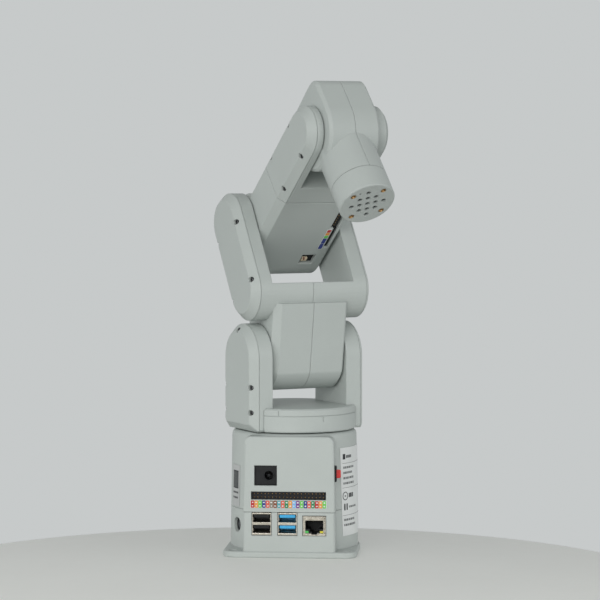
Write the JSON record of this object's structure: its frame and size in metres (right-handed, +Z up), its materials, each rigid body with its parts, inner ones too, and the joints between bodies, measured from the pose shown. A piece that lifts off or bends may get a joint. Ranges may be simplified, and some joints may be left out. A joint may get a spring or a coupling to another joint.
{
  "type": "desktop robot arm",
  "caption": "Desktop robot arm on a round computer base: turntable, forked shoulder, bent upper arm, square forearm, rolling wrist fork and a drilled round tool flange, folded forward.",
  "frame": {"origin": "centre of the base underside, on the turntable axis", "axes": "+Z up along the turntable axis, -Y out of the base face that carries the computer ports, +X to the right seen from that face"},
  "size_m": [0.1333, 0.1649, 0.3303],
  "materials": {
    "shell": "satin moulded plastic",
    "black_plastic": "fine matt",
    "blue_plastic": "matt",
    "steel": "plated sheet",
    "brass": "bright",
    "label": "printed film",
    "circuit_board": "solder mask",
    "red_plastic": "gloss",
    "cream_plastic": "matt"
  },
  "bodies": {
    "base": {"base_lower_shell": "shell", "base_upper_shell": "shell", "computer_board": "circuit_board", "usb2_shell": "steel", "usb2_insulator": "black_plastic", "usb3_shell": "steel", "usb3_insulator": "blue_plastic", "ethernet_shell": "steel", "ethernet_insert": "black_plastic", "pin_header": "black_plastic", "pin_header_pins": "brass", "pin_colour_strip": "label", "dc_jack": "black_plastic", "switch_body": "black_plastic", "right_label": "label", "left_label": "label", "turntable_servo": "black_plastic"},
    "power_switch": {"switch_lever": "red_plastic"},
    "turret": {"turret_drum": "shell", "turret_left_housing": "shell", "turret_right_housing": "shell", "turret_left_cover": "shell", "turret_right_cover": "shell", "shoulder_servo": "black_plastic", "turret_screw_1": "steel", "turret_screw_2": "steel", "turret_screw_3": "steel", "turret_screw_4": "steel", "turret_screw_5": "steel"},
    "upper_arm": {"arm_left_half": "shell", "arm_right_half": "shell", "arm_left_cover": "shell", "arm_right_cover": "shell", "elbow_servo": "black_plastic", "arm_screw_1": "steel", "arm_screw_2": "steel", "arm_screw_3": "steel", "arm_screw_4": "steel"},
    "forearm": {"forearm_shell": "shell", "forearm_colour_strip": "label", "forearm_socket": "cream_plastic", "forearm_board": "circuit_board", "forearm_pins": "brass", "roll_servo": "black_plastic"},
    "wrist_fork": {"wrist_frame": "shell", "wrist_left_cover": "shell", "wrist_right_cover": "shell", "wrist_servo": "black_plastic", "wrist_screw_1": "steel", "wrist_screw_2": "steel", "wrist_screw_3": "steel", "wrist_screw_4": "steel"},
    "wrist_head": {"head_left_half": "shell", "head_right_half": "shell", "flange_servo": "black_plastic"},
    "tool_plate": {"tool_flange": "shell", "flange_insert_1": "brass", "flange_insert_2": "brass", "flange_insert_3": "brass", "flange_insert_4": "brass"}
  },
  "joints": [
    {"name": "turntable_turn", "type": "hinge", "parent": "base", "child": "turret", "pos_m": [0, 0, 0.0868], "axis": [0, 0, 1], "range_deg": [-191.7, 128.3]},
    {"name": "shoulder_bend", "type": "hinge", "parent": "turret", "child": "upper_arm", "pos_m": [0, 0, 0.1375], "axis": [0.8508, 0.5255, 0], "range_deg": [-61.7, 84]},
    {"name": "elbow_bend", "type": "hinge", "parent": "upper_arm", "child": "forearm", "pos_m": [-0.01042, 0.01973, 0.23172], "axis": [0.8508, 0.5255, 0], "range_deg": [-140, 40]},
    {"name": "forearm_roll", "type": "hinge", "parent": "forearm", "child": "wrist_fork", "pos_m": [0.01315, -0.01844, 0.26045], "axis": [0.4008, -0.6489, 0.6468], "range_deg": [-155, 155]},
    {"name": "wrist_bend", "type": "hinge", "parent": "wrist_fork", "child": "wrist_head", "pos_m": [0.03439, -0.05283, 0.29473], "axis": [0.8508, 0.5255, 0], "range_deg": [-203.4, 26.6]},
    {"name": "flange_turn", "type": "hinge", "parent": "wrist_head", "child": "tool_plate", "pos_m": [0.05085, -0.07948, 0.25982], "axis": [0.3509, -0.5682, -0.7443], "range_deg": [-175, 175]},
    {"name": "power_switch_slide", "type": "slide", "parent": "base", "child": "power_switch", "axis": [0, 0, 1], "range_m": [-0.0015, 0.0015]}
  ]
}
